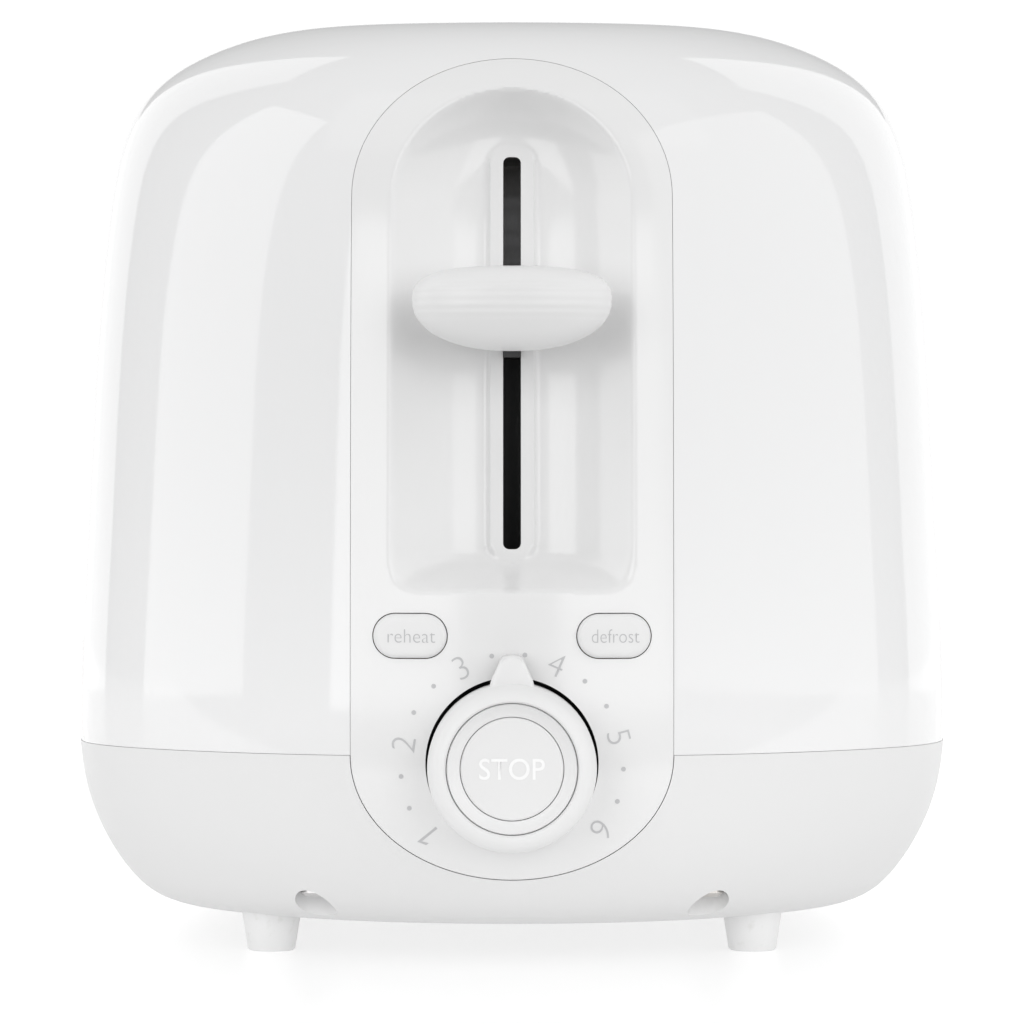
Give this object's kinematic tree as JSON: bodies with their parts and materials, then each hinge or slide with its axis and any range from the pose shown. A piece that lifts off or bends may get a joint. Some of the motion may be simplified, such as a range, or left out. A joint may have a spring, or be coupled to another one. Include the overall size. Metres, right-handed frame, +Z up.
{
  "type": "pop up toaster",
  "caption": "Rounded white pop up toaster with bread slots along its top, a lever in an arched bay, a browning dial around a stop button, and function buttons.",
  "frame": {"origin": "on the surface it stands on, under the middle of the whole object, lever knob and cord outlet included", "axes": "+Z up; +Y along the bread slots from the lever end to the cord end, so the front with the controls faces -Y; +X across, to the right as seen from the front"},
  "size_m": [0.1766, 0.2874, 0.1896],
  "materials": {
    "gloss_white_shell": "smooth high-gloss white polypropylene",
    "satin_white_plastic": "smooth satin white polypropylene",
    "steel": "bright aluminised sheet steel",
    "plated_wire": "nickel plated steel wire and strip",
    "mica": "natural mica sheet",
    "nichrome": "oxidised resistance wire",
    "enamelled_copper": "enamelled copper winding",
    "circuit_board": "phenolic circuit board",
    "black_plastic": "moulded black plastic",
    "white_rubber": "white rubber",
    "brown_insulation": "brown wire insulation",
    "blue_insulation": "blue wire insulation"
  },
  "bodies": {
    "housing": {"base_screw_front_left": "steel", "base_screw_front_right": "steel", "base_screw_rear_left": "steel", "base_screw_rear_right": "steel", "base_tray": "satin_white_plastic", "capacitor": "black_plastic", "chamber_front_plate": "steel", "chamber_rear_plate": "steel", "chamber_top_plate": "steel", "control_board": "circuit_board", "control_panel": "satin_white_plastic", "cord_gland": "satin_white_plastic", "defrost_switch": "black_plastic", "dial_potentiometer": "black_plastic", "electromagnet_coil": "enamelled_copper", "electromagnet_core": "steel", "foot_front_left": "white_rubber", "foot_front_right": "white_rubber", "foot_rear_left": "white_rubber", "foot_rear_right": "white_rubber", "guide_bracket_bottom": "steel", "guide_bracket_top": "steel", "guide_rod": "steel", "heater_board_centre": "mica", "heater_board_left": "mica", "heater_board_right": "mica", "heater_winding_centre": "nichrome", "heater_winding_left": "nichrome", "heater_winding_right": "nichrome", "lift_spring": "steel", "live_lead": "brown_insulation", "main_board": "circuit_board", "main_switch": "black_plastic", "neutral_lead": "blue_insulation", "reflector_left": "steel", "reflector_right": "steel", "reheat_switch": "black_plastic", "stop_bezel": "satin_white_plastic", "stop_switch": "black_plastic", "terminal_block": "black_plastic", "upper_shell": "gloss_white_shell"},
    "lever_carriage": {"lever_knob": "satin_white_plastic", "lever_arm": "steel", "carriage_bracket": "steel", "carriage_bush": "black_plastic", "catch_plate": "steel", "bread_rack_left": "plated_wire", "bread_rack_right": "plated_wire"},
    "browning_dial": {"browning_dial": "satin_white_plastic"},
    "stop_button": {"stop_button": "satin_white_plastic"},
    "reheat_button": {"reheat_button": "satin_white_plastic"},
    "defrost_button": {"defrost_button": "satin_white_plastic"},
    "crumb_tray": {"crumb_tray": "steel", "crumb_tray_handle": "satin_white_plastic"},
    "guard_outer_left": {"bread_guard_outer_left": "plated_wire"},
    "guard_outer_right": {"bread_guard_outer_right": "plated_wire"},
    "guard_inner_left": {"bread_guard_inner_left": "plated_wire"},
    "guard_inner_right": {"bread_guard_inner_right": "plated_wire"}
  },
  "joints": [
    {"name": "lever_slide", "type": "slide", "parent": "housing", "child": "lever_carriage", "axis": [0, 0, 1], "range_m": [-0.036, 0.021], "stiffness_N_per_m": 150, "springref_m": 0.0063, "deforming": ["lift_spring"]},
    {"name": "guard_outer_left_slide", "type": "slide", "parent": "housing", "child": "guard_outer_left", "axis": [1, 0, 0], "range_m": [-0.003, 0.0051]},
    {"name": "guard_outer_right_slide", "type": "slide", "parent": "housing", "child": "guard_outer_right", "axis": [-1, 0, 0], "range_m": [-0.003, 0.0051]},
    {"name": "guard_inner_left_slide", "type": "slide", "parent": "housing", "child": "guard_inner_left", "axis": [-1, 0, 0], "range_m": [-0.003, 0.0051]},
    {"name": "guard_inner_right_slide", "type": "slide", "parent": "housing", "child": "guard_inner_right", "axis": [1, 0, 0], "range_m": [-0.003, 0.0051]},
    {"name": "dial_turn", "type": "hinge", "parent": "housing", "child": "browning_dial", "pos_m": [0, -0.13155, 0.0388], "axis": [0, 1, 0], "range_deg": [-127, 127]},
    {"name": "stop_press", "type": "slide", "parent": "housing", "child": "stop_button", "axis": [0, 1, 0], "range_m": [0, 0.0015], "stiffness_N_per_m": 900, "springref_m": -0.001},
    {"name": "reheat_press", "type": "slide", "parent": "housing", "child": "reheat_button", "axis": [0, 1, 0], "range_m": [0, 0.0015], "stiffness_N_per_m": 900, "springref_m": -0.001},
    {"name": "defrost_press", "type": "slide", "parent": "housing", "child": "defrost_button", "axis": [0, 1, 0], "range_m": [0, 0.0015], "stiffness_N_per_m": 900, "springref_m": -0.001},
    {"name": "crumb_tray_slide", "type": "slide", "parent": "housing", "child": "crumb_tray", "axis": [0, 1, 0], "range_m": [0, 0.19]}
  ],
  "couplings": [
    {"joint": "guard_outer_left_slide", "follows": "lever_slide", "ratio": -0.1389},
    {"joint": "guard_outer_right_slide", "follows": "lever_slide", "ratio": -0.1389},
    {"joint": "guard_inner_left_slide", "follows": "lever_slide", "ratio": -0.1389},
    {"joint": "guard_inner_right_slide", "follows": "lever_slide", "ratio": -0.1389}
  ]
}
